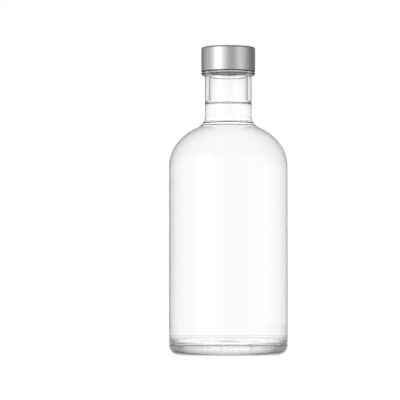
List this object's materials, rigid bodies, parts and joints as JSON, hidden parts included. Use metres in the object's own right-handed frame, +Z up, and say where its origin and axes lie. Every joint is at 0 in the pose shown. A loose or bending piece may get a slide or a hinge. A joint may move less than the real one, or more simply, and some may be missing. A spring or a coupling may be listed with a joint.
{
  "type": "vodka bottle",
  "caption": "Clear glass spirits bottle with a domed shoulder, short neck, glass ring and satin metal screw cap, filled with vodka up to the neck.",
  "frame": {"origin": "centre of the ring that the bottle stands on", "axes": "+Z up along the bottle's axis; X and Y are level, and the round body has no front"},
  "size_m": [0.086, 0.086, 0.2236],
  "materials": {
    "clear_glass": "polished clear flint glass, with fine knurling on the bearing ring",
    "vodka": "clear colourless liquid",
    "liner_foam": "fine closed-cell foam",
    "white_plastic": "moulded, fine matt",
    "satin_aluminium": "satin, finely turned"
  },
  "bodies": {
    "bottle": {"bottle": "clear_glass", "vodka": "vodka"},
    "liner": {"cap_liner": "liner_foam"},
    "cap": {"cap_insert": "white_plastic", "cap_shell": "satin_aluminium"}
  },
  "joints": [
    {"name": "cap_lift", "type": "slide", "parent": "bottle", "child": "liner", "axis": [0, 0, 1], "range_m": [0, 0.0053]},
    {"name": "cap_turn", "type": "hinge", "parent": "liner", "child": "cap", "pos_m": [0, 0, 0.2197], "axis": [0, 0, 1], "range_deg": [0, 450]}
  ],
  "couplings": [
    {"joint": "cap_lift", "follows": "cap_turn", "m_per_rad": 0.0006737}
  ]
}
